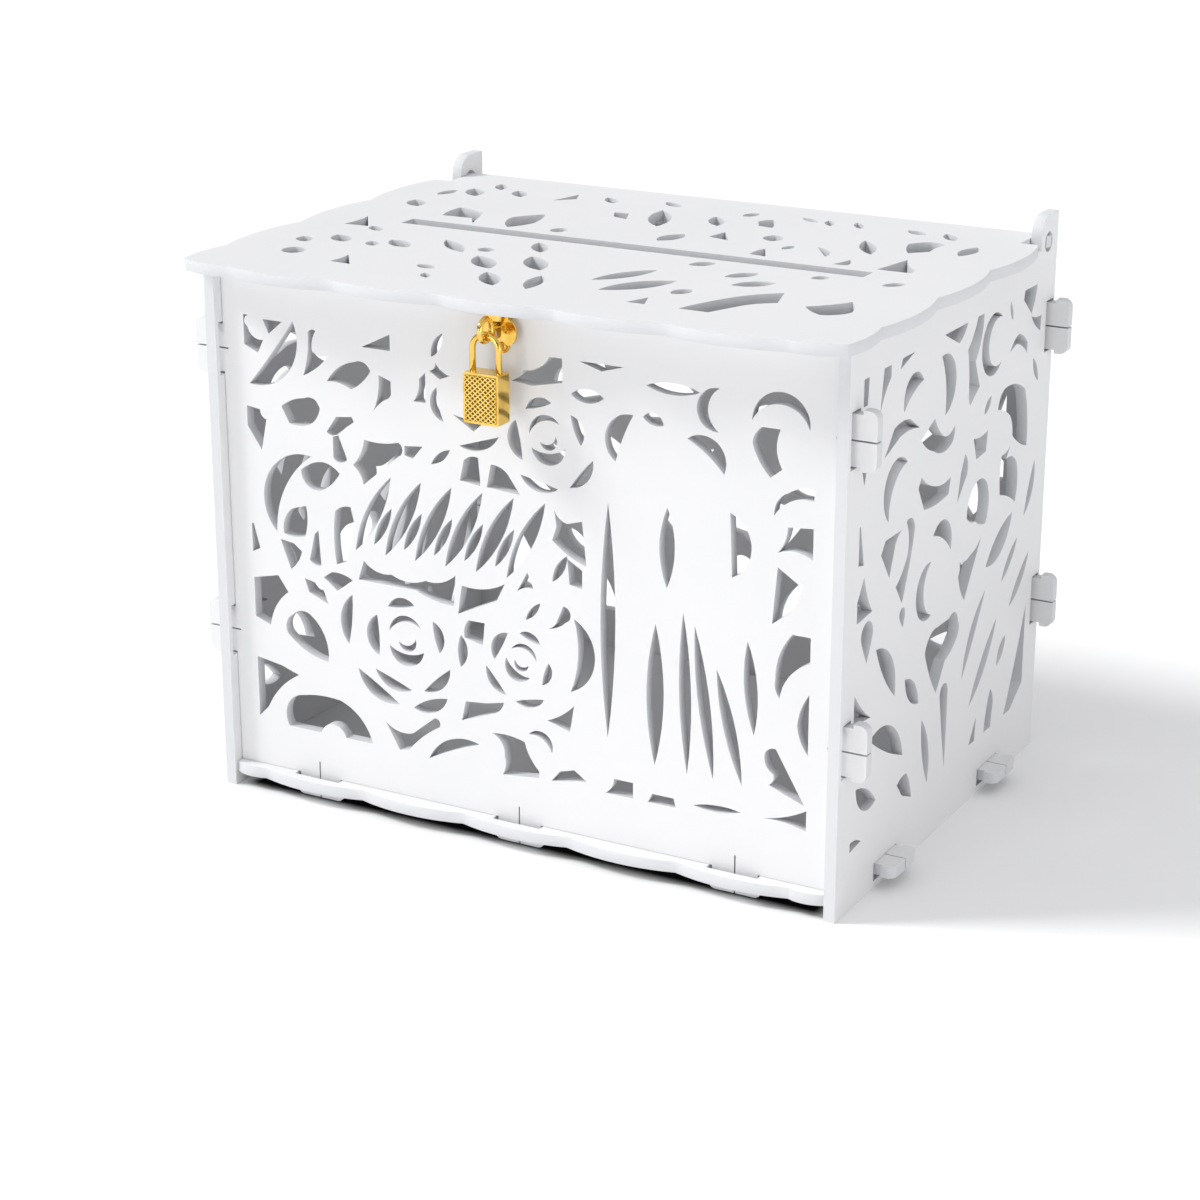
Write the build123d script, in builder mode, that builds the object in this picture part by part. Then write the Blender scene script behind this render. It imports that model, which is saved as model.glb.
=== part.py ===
from build123d import *
from math import cos, hypot, radians, sin
import os

# A card box of flat foamed board, held together by split snap tabs, with a padlock on the front.
# X runs across the box, the front looks along -Y, +Z is up and the floor is z = 0. Millimetres.

os.makedirs("parts", exist_ok=True)

# ---------------------------------------------------------------- driving dimensions
box_width = 300.0            # over the outer faces of the side panels
side_depth = 220.0           # front edge to rear edge of a side panel
wall_height = 237.0          # floor to the underside of the lid
board = 5.0                  # thickness of every panel
fit_gap = 0.15               # between pieces that seat on each other
lid_reach = 16.6             # lid scallop tips ahead of the side panels' front edges

front_setback = 5.2          # side panels' front edges to the front face of the front panel
rear_setback = 1.7           # side panels' rear edges to the rear face of the back panel
floor_height = 6.0           # underside of the bottom panel above the floor
wall_top_gap = 0.3           # front and back panels below the lid

# snap tabs and their slots
tab_neck = 21.0              # width where the tab passes through the board
tab_head = 24.4              # width of the pair of barbs
tab_standoff = 3.4           # outer face of the slotted board to the barbs
tab_barb = 6.0               # length of the barbs
tab_corner = 3.5             # rounding of the barbs' outer corners
tab_slit = 0.7               # split down the middle of the tab
tab_slit_depth = 17.0        # from the tab's end into its panel
slot_length = 23.2
slot_slack = 2.9             # slot wider than the board by this much, on one side
foot_reach = 5.3             # the downward tabs stand out this far under the bottom panel
foot_standoff = 1.1          # from the bottom panel's underside to their barbs
side_tab_heights = [73.0, wall_height - 36]
foot_tab_inset = 47.5        # outer downward tabs from the box's sides
bottom_tab_inset = 50.0      # bottom panel's side tabs from the side panels' front and rear edges
bottom_tab_shift = -3.0

# scalloped edges
front_scallop = 51.5         # pitch along the lid's and the bottom panel's front edges
side_scallop = 56.0          # pitch along the lid's side edges
scallop_rise = 3.8           # tips ahead of the cusps
lid_overhang = 2.6           # lid's side cusps beyond the side panels
lid_leaf_fullness = 1.5      # widens the leaves that pierce the lid
bottom_lip = 3.0             # bottom panel's scallop tips ahead of the side panels' front edges

# lid hinge
ear_length = 19.6
ear_rise = 14.5              # above the underside of the lid
ear_round = 9.0
pivot_inset = 11.0           # pivot axis ahead of the side panels' rear edges
pivot_hole = 9.0             # diameter
pivot_tab = 6.0              # width of the lid's pivot tab
ear_gap = 0.5                # lid to the inner face of an ear
lid_tail = 3.0               # lid behind the pivot axis
ear_clear = 11.4             # lid's overhanging sides stop this far ahead of an ear

# card slot
card_slot_length = 224.0
card_slot_width = 10.0
card_slot_from_front = 117.6 # middle of the slot behind the lid's front tips

# the pierced patterns are drawn for a box of this size and keep their proportions on any other
drawn_width = 300.0
drawn_depth = 220.0
drawn_height = 237.0
drawn_front_half = 134.0     # from the middle of the front pattern to its side
drawn_side_half = 98.0       # the same for the side pattern, which is stretched over the back panel

# padlock and its staple
hasp_x = -5.0
hasp_standoff = 14.2         # front face of the front panel to the padlock's middle plane
crown_height = wall_height - 10.3         # middle of the shackle's rod at its top
rod = 2.6                    # shackle rod diameter
leg_pitch = 12.2
lock_width = 16.5
lock_height = 21.0
lock_core = 5.5              # thickness of the bored core
lock_cover = 1.5             # thickness of each cover plate
lock_drop = 15.2             # crown rod centre to the top of the lock body
toe_depth = 5.2              # toe leg inside the body
heel_depth = 13.0            # heel leg inside the body
release_travel = 5.6         # the body drops this far when it is unlocked
latch_travel = 1.5
latch_bite = 0.9             # latch tip inside the toe leg's ramp
bore_gap = 0.05              # radial running clearance of rods and plug
plug_diameter = 4.2
plug_length = 9.0
eye_radius = 4.5             # centre line of the staple's ring
eye_rod = 2.4
shank_diameter = 2.4
screw_shank = 0.85           # radius of the small screws, and of their holes
screw_hole = 0.9

# ---------------------------------------------------------------- worked-out places
half_width = box_width / 2
front_edge = -(side_depth + lid_reach) / 2 + lid_reach
rear_edge = front_edge + side_depth
lid_tip = front_edge - lid_reach
inner_half = half_width - board
front_face = front_edge + front_setback
back_face = rear_edge - rear_setback
floor_top = floor_height + board
wall_top = wall_height - wall_top_gap
pivot_y = rear_edge - pivot_inset
pivot_z = wall_height + board / 2
middle = (front_edge + rear_edge) / 2
lock_y = front_face - hasp_standoff
eye_z = crown_height + eye_radius - eye_rod / 2 - rod / 2 - fit_gap   # ring centre; the crown hangs in it
shank_hole = shank_diameter / 2 + 0.1
plate_screw_z = eye_z - 9.5
front_arches = int((box_width - 4 * board) / front_scallop)
foot_tab_places = [foot_tab_inset - half_width, 0.0, half_width - foot_tab_inset]
bottom_tabs = [
    front_edge + bottom_tab_inset,
    rear_edge - bottom_tab_inset + 2 * bottom_tab_shift,
]


def save(part, name):
    """Label one finished sub-part and write its STEP file."""
    part.label = name
    export_step(part, f"parts/{name}.step")


def turned(points, x, y, angle):
    """The points turned by an angle in degrees and moved to (x, y)."""
    c = cos(radians(angle))
    s = sin(radians(angle))
    return [(x + px * c - py * s, y + px * s + py * c, bow) for px, py, bow in points]


def outline(points, mode=Mode.ADD):
    """Closed face from (x, y, bow) corners; a negative bow arches out on a counter-clockwise walk."""
    with BuildLine(Plane.XY, mode=Mode.PRIVATE) as edge:
        for (x, y, bow), (next_x, next_y, _) in zip(points, points[1:] + points[:1]):
            if bow:
                SagittaArc((x, y), (next_x, next_y), bow)
            else:
                Line((x, y), (next_x, next_y))
    make_face(edge.edges(), mode=mode)


def snap_tab(x, y, angle, through, standoff, barb):
    """Split barbed tab that stands out of a panel's edge at (x, y)."""
    base = through + standoff
    end = base + barb
    neck = tab_neck / 2
    head = tab_head / 2
    corner = min(tab_corner, barb - 0.8)
    rounding = -0.29 * corner
    shape = [
        (-1, -neck, 0),
        (base, -neck, 0),
        (base, -head, 0),
        (end - corner, -head, rounding),
        (end, corner - head, 0),
        (end, head - corner, rounding),
        (end - corner, head, 0),
        (base, head, 0),
        (base, neck, 0),
        (-1, neck, 0),
    ]
    outline(turned(shape, x, y, angle))
    half = tab_slit / 2
    slit = [(end - tab_slit_depth, -half, 0), (end + 1, -half, 0), (end + 1, half, 0)]
    slit.append((end - tab_slit_depth, half, 0))
    outline(turned(slit, x, y, angle), Mode.SUBTRACT)


def slot(x_low, x_high, y_low, y_high):
    """Rectangular cut between four limits."""
    with Locations(((x_low + x_high) / 2, (y_low + y_high) / 2)):
        Rectangle(x_high - x_low, y_high - y_low, mode=Mode.SUBTRACT)


# ---------------------------------------------------------------- pierced pattern
class Field:
    """Where a pattern lies on its panel, and how far it is scaled each way."""

    def __init__(self, x, y, x_scale, y_scale):
        self.x = x
        self.y = y
        self.x_scale = x_scale
        self.y_scale = y_scale

    def cut(self, *points):
        """One gap through the panel; a bow grows as the stretched field would carry it."""
        placed = []
        for (x, y, bow), (next_x, next_y, _) in zip(points, points[1:] + points[:1]):
            chord = hypot(next_x - x, next_y - y)
            placed_chord = hypot((next_x - x) * self.x_scale, (next_y - y) * self.y_scale)
            bow_scale = self.x_scale * self.y_scale * chord / placed_chord
            placed.append((self.x + x * self.x_scale, self.y + y * self.y_scale, bow * bow_scale))
        outline(placed)

    def leaf(self, x, y, length, width, angle):
        """Gap pointed at both ends."""
        self.cut(*turned([(0, 0, -width / 2), (length, 0, -width / 2)], x, y, angle))

    def sickle(self, x, y, length, width, angle, bend):
        """Pointed gap that bows to its right by bend."""
        self.cut(*turned([(0, 0, -bend - width / 2), (length, 0, bend - width / 2)], x, y, angle))

    def blade(self, x, y, length, width, angle, bend=0.0):
        """Gap that widens from a point to a round end."""
        half = width / 2
        shape = [(0, 0, -bend - 0.3), (length, -half, -half), (length, half, bend - 0.3)]
        self.cut(*turned(shape, x, y, angle))

    def petal(self, x, y, radius, start, end, width):
        """Crescent about a centre from one angle to another."""
        rise = radius * (1 - cos(radians(end - start) / 2))
        first = (x + radius * cos(radians(start)), y + radius * sin(radians(start)))
        last = (x + radius * cos(radians(end)), y + radius * sin(radians(end)))
        self.cut((*first, -rise - width / 2), (*last, rise - width / 2))

    def rose(self, x, y, size, turn=0):
        """Three rings of crescents about a bud."""
        self.petal(x, y, 0.16 * size, turn + 200, turn + 370, 0.1 * size)
        self.petal(x, y, 0.34 * size, turn + 40, turn + 165, 0.1 * size)
        self.petal(x, y, 0.36 * size, turn + 205, turn + 330, 0.2 * size)
        self.petal(x, y, 0.62 * size, turn - 12, turn + 38, 0.18 * size)
        self.petal(x, y, 0.6 * size, turn + 75, turn + 125, 0.17 * size)
        self.petal(x, y, 0.64 * size, turn + 150, turn + 215, 0.24 * size)
        self.petal(x, y, 0.86 * size, turn + 225, turn + 275, 0.18 * size)
        self.petal(x, y, 0.88 * size, turn + 290, turn + 335, 0.18 * size)


def front_pattern(field):
    """Roses, leaves and curls at the left and in the middle, a bride and groom at the right."""
    # left edge, bottom to top
    field.cut((-134, 34, 0), (-129, 39, 2), (-112, 57, 0), (-121, 60, 0), (-134, 62, 0))
    field.cut((-134, 81, 0), (-126, 78, 2), (-116, 95, 0), (-121, 102, 0), (-134, 99, 0))
    field.cut((-134, 111, 0), (-130, 113, 0), (-133, 124, 0), (-134, 124, 0))
    field.cut((-134, 168, 0), (-127, 158, 0), (-124, 172, 1), (-127, 176, 0), (-134, 177, 0))
    field.cut((-134, 204, 0), (-127, 201, 0), (-124, 207, 2), (-132, 212, 2), (-131, 217, 0), (-134, 217, 0))
    field.cut((-117, 76, -2), (-96, 66, -3), (-104, 86, -2), (-114, 85, -2))
    field.cut((-118, 32, 0), (-101, 32, 5), (-88, 32, 0), (-74, 32, -3), (-90, 49, -1), (-110, 48, -5))
    # big curl at the left
    field.petal(-97, 133, 26, 100, 205, 10)
    field.cut((-117, 122, -1), (-106, 122, -1), (-105, 136, 0), (-112, 134, -2))
    field.cut((-107, 152, -3), (-97, 144, -1), (-87, 153, -1), (-96, 157, -1))
    field.cut((-119, 119, 0), (-114, 106, -1), (-108, 115, 0), (-112, 118, 0))
    field.cut((-104, 112, -1), (-98, 110, 0), (-99, 126, 0), (-101, 124, 0))
    field.sickle(-132, 187, 38, 11, 52, 6)
    field.cut((-116, 179, 0), (-112, 172, -1), (-101, 173, -1), (-96, 181, -2), (-104, 184, -1))
    field.cut((-104, 194, -1), (-91, 204, 1), (-99, 205, 1), (-97, 214, -1), (-101, 213, 1))
    field.cut((-124, 216, 0), (-121, 210, 0), (-114, 216, 0))
    field.cut((-92, 193, 1), (-80, 191, -1), (-70, 200, -2), (-78, 203, -2))
    field.cut((-69, 183, 1), (-60, 190, 0), (-60, 197, 0), (-66, 199, 1))
    field.cut((-74, 210, 0), (-60, 210, 0), (-60, 217, 0))
    field.cut((-93, 171, -1), (-88, 170, 0), (-79, 177, 0), (-80, 179, 0), (-88, 178, 0))
    field.cut((-90, 160, -2), (-83, 160, 0), (-87, 170, 0), (-90, 169, 0))
    field.cut((-80, 158, 1), (-75, 150, 0), (-63, 160, 0), (-57, 165, -2), (-57, 171, 1), (-74, 170, 1))
    field.cut((-54, 166, 0), (-50, 165, 0), (-45, 171, 0), (-54, 170, 0))
    # letter-free ribbons between the roses
    for step in range(6):
        field.leaf(-80 + step * 15.0, 120, 40, 7.4, 62)
    for step in range(5):
        field.leaf(-70.5 + step * 15.0, 124, 20, 4.2, 62)
    field.cut((-79, 107, 0), (-50, 107, -1), (-31, 103, 0), (-30, 117, 2), (-45, 112, 2),
        (-62, 112, 2), (-76, 116, 0))
    field.cut((-29, 100, 0), (-10, 109, 0), (-6, 117, 2), (-27, 113, 0))
    field.cut((-97, 105, 0), (-90, 100, 0), (-82, 106, -1), (-93, 108, 0))
    field.cut((-30, 187, 0), (-20, 181, 0), (-12, 188, 1.5))
    field.cut((-49, 190, 0), (-43, 190, 0), (-43, 203, 0), (-46, 200, 1))
    field.cut((-41, 204, 0), (-36, 201, 0), (-31, 203, 1), (-38, 208, 1))
    field.leaf(-40, 210, 12, 4, 62)
    field.sickle(-27, 174, 20, 4, 18, 2)
    field.leaf(-41, 164, 12, 3.4, 38)
    # leaves and petals around the roses
    field.petal(-55, 85, 31, 152, 196, 6)
    field.petal(-55, 84, 31, 215, 262, 6)
    field.petal(-55, 84, 31, 275, 310, 6)
    field.petal(-55, 84, 28, -16, 14, 5)
    field.petal(-28, 192, 11, 150, 235, 4)
    field.cut((-26, 90, 0), (-17, 88, 0), (-16, 98, 0), (-24, 98, -1))
    field.cut((-107, 103, 0), (-105, 97, 0), (-95, 93, 0), (-98, 101, 0))
    field.cut((-90, 112, 0), (-85, 114, 0), (-80, 131, 0), (-82, 139, -1), (-90, 136, -1))
    field.cut((24, 133, 0), (25, 122, 0), (31, 121, 0), (31, 129, 0))
    field.cut((-14, 158, 0), (2, 157, 0), (-4, 165, -1), (-12, 168, 0))
    field.cut((-27, 159, 0), (-17, 158, 0), (-18, 170, -1), (-25, 168, 0))
    field.cut((-2, 205, 0), (8, 204, 0), (22, 207, 0), (22, 217, 0), (16, 217, 2), (4, 210, 1))
    # roses
    field.rose(-55, 84, 27, 0)
    field.rose(15, 183, 25, 8)
    field.rose(2, 84, 21, -30)
    field.cut((-28, 52, 0), (-12, 58, -1), (-7, 64, 0), (-16, 62, 0), (-26, 61, 0))
    field.cut((-60, 32, 0), (-55, 33, 1), (-40, 46, -2), (-42, 50, 0), (-53, 41, 2), (-67, 44, 0))
    field.sickle(-45, 31, 28, 5, 24, -3)
    field.cut((-8, 31, 0), (10, 33, 0), (10, 36, 1), (3, 48, -1), (-13, 49, 2), (-7, 40, 1))
    field.cut((16, 33, 0), (33, 36, 0), (27, 40, 0), (20, 38, 0))
    field.cut((14, 60, 0), (25, 57, 0), (27, 69, 1))
    field.sickle(5, 52, 13, 3, -30, -4)
    field.petal(10, 92, 23, -48, 42, 8)
    field.cut((17, 140, -1), (33, 131, 0), (31, 150, 0), (24, 148, 1), (18, 153, 0), (19, 146, 0))
    field.leaf(17, 122, 14, 4, 60)
    field.leaf(4, 103, 11, 3, 50)
    field.cut((14, 101, -1), (23, 105, -3), (22, 112, 0), (19, 105, 1))
    field.cut((0, 115, 1), (8, 117, 0), (5, 124, 0))
    # a plain couple left solid between these gaps: round heads, a straight coat and a flared skirt
    groom_x = 60
    groom_head = 184
    bride_x = 81
    bride_head = 178
    field.petal(groom_x, groom_head, 15, 112, 205, 8)
    field.petal(groom_x, groom_head, 14, 55, 95, 5)
    field.petal(bride_x, bride_head, 14, 5, 100, 7)
    field.petal(bride_x, 150, 22, -35, 40, 9)
    field.leaf(43, 58, 102, 7, 90)
    field.leaf(65, 50, 62, 8, 90)
    field.leaf(70, 128, 34, 7, 90)
    for hem_x, length, angle in ((80, 70, 92), (92, 66, 98), (105, 50, 104)):
        field.leaf(hem_x, 49, length, 5.5, angle)
    field.leaf(110, 72, 40, 6, 95)
    # background above the couple and the ground under it
    field.leaf(26, 203, 15, 6, 0)
    field.cut((30, 217, 0), (40, 214, 0), (50, 217, 0))
    field.leaf(60, 211, 24, 5, 0)
    field.petal(94, 205, 9, 100, 260, 5)
    field.cut((42, 33, 0), (55, 33, 0), (55, 40, 0), (46, 40, 1))
    field.cut((62, 33, 0), (75, 33, 0), (74, 37, 0), (64, 37, 0))
    field.leaf(83, 36, 22, 3, 3)
    # right edge, top to bottom
    field.petal(119, 201, 12.5, 5, 170, 5)
    field.cut((107, 194, -1), (115, 181, 0), (120, 185, 2), (119, 201, 0), (111, 201, -1))
    field.cut((117, 166, 3), (134, 174, 0), (134, 179, -1), (123, 176, -2))
    field.cut((119, 151, 2), (134, 150, 0), (134, 163, 0), (123, 162, 1))
    field.cut((117, 121, 0), (126, 128, 0), (130, 138, 0), (119, 145, 0))
    field.cut((119, 98, -1), (121, 90, 3), (134, 107, 0), (134, 118, 0), (126, 118, -2))
    field.cut((129, 80, -1), (134, 68, 0), (134, 94, -1))
    field.cut((117, 52, 0), (133, 46, 0), (120, 68, -2), (115, 63, -1), (119, 57, 1))
    field.cut((115, 37, 1), (134, 35, 0), (134, 44, 1))


def side_pattern(field):
    """A spray of blades with curls above; x runs from the front edge to the rear."""
    for x, y, length, width, angle, bend in (
        (18, 62, 42, 6, 55, -2), (28, 46, 44, 7, 48, 1), (41, 107, 34, 11, 30, 2), (61, 94, 24, 5, 42, 0),
        (72, 79, 30, 6, 42, 1), (60, 55, 15, 6, 50, 0), (85, 118, 26, 6, 66, 2), (-56, 80, 34, 10, 128, 3),
        (-45, 50, 40, 11, 152, 4), (-30, 68, 22, 8, 135, 0), (-72, 40, 24, 9, 150, -2),
            (-17, 27, 33, 7, 105, 1),
    ):
        field.sickle(x, y, length, width, angle, bend)
    field.blade(2, 27, 36, 9, 96)
    field.blade(-50, 108, 6, 6, 100)
    field.blade(-86, 104, 12, 12, 92)
    field.cut((-97, 81, 0), (-80, 79, 1), (-97, 94, 0))
    field.cut((-97, 26, 0), (-86, 27, -1), (-97, 30, 0))
    field.cut((-50, 38, 0), (-44, 31, 0), (-34, 27, -1), (-40, 40, -1))
    field.cut((30, 27, 0), (37, 27, 0), (38, 38, 0))
    field.cut((48, 27, 0), (56, 27, 0), (58, 38, -1), (54, 46, -1))
    field.cut((72, 27, 0), (80, 27, 0), (94, 36, 0), (94, 74, 1))
    # heart-shaped gap and the root of the curls
    field.cut((-11, 66, 0), (-2, 78, -1), (10, 84, -2), (11, 92, -3), (1, 96, 0), (-12, 96, -3),
        (-25, 88, -1))
    field.petal(-21, 116, 12, 95, 275, 8)
    field.cut((17, 99, 0), (34, 123, 1), (22, 118, 1), (10, 118, 1), (9, 112, -1))
    # curls
    field.petal(-57, 166, 14, 65, 215, 9)
    field.cut((-75, 146, 0), (-66, 134, 0), (-61, 146, 1), (-54, 151, 0), (-71, 151, 0))
    field.cut((-59, 128, 0), (-52, 119, -1), (-41, 148, -3), (-50, 153, 2), (-48, 138, 1))
    field.petal(-44, 198, 13, 60, 170, 8)
    field.petal(-23, 200, 15, -50, 75, 11)
    field.cut((-75, 186, 0), (-60, 191, 1), (-40, 190, 0), (-50, 196, -1), (-66, 196, 0))
    field.cut((-38, 184, -1), (-24, 176, -2), (-6, 174, -2), (-2, 182, 2), (-14, 180, 1), (-24, 190, 0))
    field.cut((-39, 164, 0), (-32, 153, -1), (-6, 153, 0), (-4, 160, 1), (-20, 160, 1), (-36, 168, 0))
    field.petal(-15, 126, 14, 5, 115, 8)
    field.cut((12, 190, 0), (14, 186, 0), (24, 192, 0), (18, 204, -2), (26, 223, 0), (19, 223, 1),
        (9, 211, 1))
    field.petal(41, 207, 12, 55, 310, 8)
    field.cut((58, 199, 0), (66, 201, 1), (79, 194, 0), (79, 199, -1), (68, 205, -1))
    field.cut((47, 176, 1), (62, 170, 1), (66, 160, -1), (84, 151, -2), (79, 178, -2), (55, 184, -2))
    field.cut((54, 136, 1), (73, 128, -2), (73, 146, -2), (60, 151, 0), (64, 156, 1), (54, 154, -1))
    field.cut((16, 136, -1), (26, 132, -1), (38, 128, -3), (38, 146, -3), (22, 148, -2))
    field.cut((20, 170, 0), (24, 160, 0), (35, 161, 0), (36, 170, 1))
    field.cut((4, 146, 0), (14, 156, -2), (11, 166, 0), (7, 158, 0))
    field.leaf(87, 190, 14, 4, -58)
    field.leaf(31, 178, 10, 4, 40)
    field.leaf(56, 222, 10, 3, -68)
    # top and front edges
    field.cut((72, 219, 0), (82, 211, -1), (88, 223, 0), (73, 223, 0))
    field.cut((82, 210, -1), (94, 201, 0), (95, 208, 1))
    field.cut((-17, 223, 0), (-1, 216, -1), (8, 223, 0))
    field.cut((-62, 219, 0), (-48, 223, 0), (-60, 223, 0))
    field.cut((-81, 205, 1), (-71, 218, 0), (-71, 223, 0), (-78, 223, 0))
    field.cut((-97, 212, 0), (-93, 212, 0), (-92, 223, 0), (-97, 223, 0))
    field.cut((-97, 188, 0), (-94, 180, 0), (-91, 188, 0))
    field.cut((-97, 148, 0), (-92, 147, 0), (-96, 164, 0), (-97, 164, 0))
    field.cut((-97, 124, 0), (-82, 125, 1), (-91, 142, 0), (-97, 133, 0))


def lid_pattern(field):
    """Blades and leaves on both sides of the card slot; the first rows are the right half."""
    for x, y, length, width, angle in (
        (17, -72, 33, 6, 62), (28, -86, 36, 8, 55), (57, -78, 11, 5, 70), (62, -41, 16, 5, 52),
        (71, -53, 19, 6, 40), (39, -28, 12, 5, 45), (94, -26, 8, 4, 40), (125, -25, 11, 4, 50),
        (97, 27, 28, 5, 118), (49, 31, 12, 6, 110), (5, 8, 18, 6, 75), (60, 18, 9, 3, 80),
        (14, 48, 20, 5, 118), (15, 72, 10, 4, 70), (58, 72, 12, 3, 118), (72, 73, 13, 3, 120),
        (131, 42, 20, 5, 88), (118, 69, 15, 4, 125), (-111, -33, 11, 4, 140), (-48, -47, 8, 5, 120),
        (-27, -37, 20, 5, 122), (-10, -67, 27, 7, 127), (-30, -74, 25, 7, 132), (-13, -100, 25, 6, 126),
        (2, -99, 25, 5, 105), (-112, -59, 15, 6, 135), (-97, -60, 9, 4, 125), (-127, -67, 11, 5, 128),
        (-119, -89, 12, 7, 115), (-96, -46, 17, 6, -35), (-60, -82, 10, 4, -15), (-44, -101, 9, 3, 125),
        (-126, 21, 15, 6, 125), (-44, 2, 9, 5, 75), (-9, 34, 36, 7, 113), (-95, 62, 15, 5, 125),
        (-115, 54, 18, 6, 122), (-112, 72, 14, 4, 118), (-56, -53, 27, 5, 137), (-50, 70, 14, 4, 130),
        (-132, 48, 14, 4, 80), (40, 82, 12, 3, -30), (92, 80, 12, 4, -30), (-30, 84, 13, 4, -35),
    ):
        field.leaf(x, y, length, lid_leaf_fullness * width, angle)
    field.sickle(82, 14, 19, 4, 125, 2)
    field.cut((48, -99, 0), (56, -99, 0), (52, -88, 0))
    field.cut((71, -99, 0), (84, -99, 0), (91, -82, 1), (101, -72, 0), (96, -55, -1), (82, -70, -1))
    field.cut((113, -72, -1), (124, -82, -2), (133, -72, -1), (126, -56, 1))
    field.cut((111, 2, 0), (126, 2, -1), (124, 10, 1), (115, 25, 0))
    field.cut((91, 2, 0), (97, 3, -1), (94, 13, 0))
    field.cut((52, 3, 0), (60, 2, 0), (53, 16, -1))
    field.cut((21, 26, 0), (32, 23, 0), (23, 38, 0))
    field.cut((30, 57, 0), (37, 56, -1), (30, 72, -1), (26, 65, 0))
    field.cut((110, 37, 0), (117, 44, 1), (118, 60, -1), (110, 62, -1), (103, 54, -1))
    field.cut((-133, -28, 0), (-121, -27, 0), (-133, -9, 1))
    field.cut((-96, -94, 0), (-85, -95, 0), (-96, -80, 1))
    field.cut((-105, 9, 0), (-90, 10, 0), (-84, 1, 0), (-91, 22, -1), (-107, 28, -1))
    field.cut((-66, 1, -1), (-60, 14, -1), (-65, 33, -1), (-75, 20, -2))
    field.cut((-36, 44, 0), (-28, 41, 0), (-33, 53, 0), (-40, 52, 0))
    field.cut((-78, 62, 0), (-70, 70, 0), (-74, 80, 0))


# ---------------------------------------------------------------- side panels
side_scale = min(side_depth / drawn_depth, wall_height / drawn_height)
side_field = Field(middle, 0, side_scale, side_scale)
front_slot = (front_face - slot_slack, front_face + board + fit_gap)
back_slot = (back_face - board - slot_slack, back_face + fit_gap)
floor_slot = (floor_height - slot_slack, floor_top + fit_gap)
ear_front = rear_edge - ear_length
ear_top = wall_height + ear_rise

with BuildPart() as right_side:
    with BuildSketch(Plane.YZ.offset(half_width)):
        outline([
            (front_edge, 0, 0),
            (rear_edge, 0, 0),
            (rear_edge, ear_top, 0),
            (ear_front + ear_round, ear_top, -0.29 * ear_round),
            (ear_front, ear_top - ear_round, 0),
            (ear_front, wall_height, 0),
            (front_edge, wall_height, 0),
        ])
        with Locations((pivot_y, pivot_z)):
            Circle(pivot_hole / 2, mode=Mode.SUBTRACT)
        for height in side_tab_heights:
            slot(*front_slot, height - slot_length / 2, height + slot_length / 2)
            slot(*back_slot, height - slot_length / 2, height + slot_length / 2)
        for y in bottom_tabs:
            slot(y - slot_length / 2, y + slot_length / 2, *floor_slot)
    extrude(amount=-board)
    with BuildSketch(Plane.YZ.offset(half_width)):
        side_pattern(side_field)
    extrude(amount=-board, mode=Mode.SUBTRACT)
save(right_side.part, "right_side_panel")

with BuildPart() as left_side:
    add(mirror(right_side.part, about=Plane.YZ, mode=Mode.PRIVATE))
save(left_side.part, "left_side_panel")


# ---------------------------------------------------------------- front and back panels
def wall_outline():
    """Front or back panel with its snap tabs, seen from the front."""
    bottom = floor_top + fit_gap
    reach = inner_half - fit_gap
    with Locations((0, (bottom + wall_top) / 2)):
        Rectangle(2 * reach, wall_top - bottom)
    through = board + fit_gap
    for height in side_tab_heights:
        snap_tab(reach, height, 0, through, tab_standoff, tab_barb)
        snap_tab(-reach, height, 180, through, tab_standoff, tab_barb)
    for x in foot_tab_places:
        snap_tab(x, bottom, -90, through, foot_standoff, foot_reach - foot_standoff)


wall_scale = min(box_width / drawn_width, wall_height / drawn_height)
wall_field = Field(0, 0, wall_scale, wall_scale)
with BuildPart() as front:
    with BuildSketch(Plane.XZ.offset(-front_face)):
        wall_outline()
    extrude(amount=-board)
    with BuildSketch(Plane.XZ.offset(-front_face)):
        front_pattern(wall_field)
    extrude(amount=-board, mode=Mode.SUBTRACT)
    with BuildSketch(Plane.XZ.offset(-front_face)):
        with Locations((hasp_x, eye_z)):
            Circle(shank_hole)
        with Locations((hasp_x, plate_screw_z)):
            Circle(screw_hole)
    extrude(amount=-board, mode=Mode.SUBTRACT)
save(front.part, "front_panel")

back_field = Field(0, 3, -wall_scale * drawn_front_half / drawn_side_half, wall_scale)
with BuildPart() as back:
    with BuildSketch(Plane.XZ.offset(board - back_face)):
        wall_outline()
    extrude(amount=-board)
    with BuildSketch(Plane.XZ.offset(board - back_face)):
        side_pattern(back_field)
    extrude(amount=-board, mode=Mode.SUBTRACT)
save(back.part, "back_panel")


# ---------------------------------------------------------------- bottom panel
def scalloped_front(edge_half, cusp_y, corner_y):
    """Front edge points from the left corner to the right corner: whole arches and two end pieces."""
    points = [(-edge_half, corner_y, -scallop_rise / 2)]
    for k in range(front_arches):
        points.append((front_scallop * (k - front_arches / 2), cusp_y, -scallop_rise))
    points.append((front_scallop * front_arches / 2, cusp_y, -scallop_rise / 2))
    points.append((edge_half, corner_y, 0))
    return points


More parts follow.
